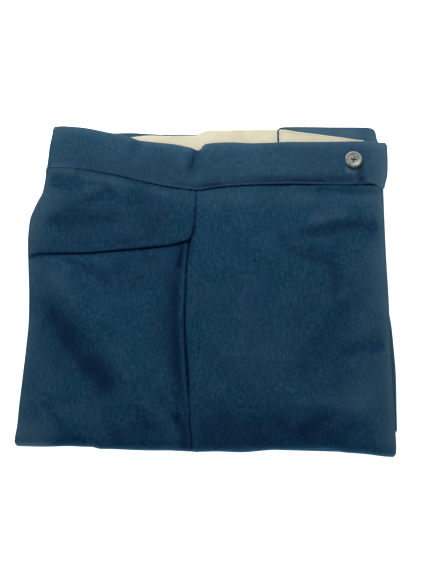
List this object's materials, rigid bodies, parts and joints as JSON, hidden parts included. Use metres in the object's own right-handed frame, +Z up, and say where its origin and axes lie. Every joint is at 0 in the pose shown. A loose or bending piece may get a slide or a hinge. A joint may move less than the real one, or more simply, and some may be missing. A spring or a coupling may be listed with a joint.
{
  "type": "folded wool military trousers",
  "caption": "High-waisted blue wool uniform trousers, folded in three with the right hip uppermost, showing waistband, yoke, pocket mouth and cream lining.",
  "frame": {"origin": "centre of the footprint, on the surface the trousers lie on", "axes": "+Z up through the folded stack, +Y towards the waist, +X towards the front closure"},
  "size_m": [0.3928, 0.3592, 0.034],
  "materials": {
    "wool": "milled wool with a raised nap",
    "wool_inner": "milled wool with a raised nap",
    "lining": "cotton drill",
    "horn": "satin horn"
  },
  "bodies": {
    "root": {"folded_legs": "wool_inner", "left_waistband": "wool", "left_waistband_lining": "lining", "back_yoke": "wool", "back_panel": "wool", "front_panel": "wool", "pocket_facing": "wool_inner", "tab_lining": "lining", "right_waistband": "wool", "button": "horn"}
  },
  "joints": []
}
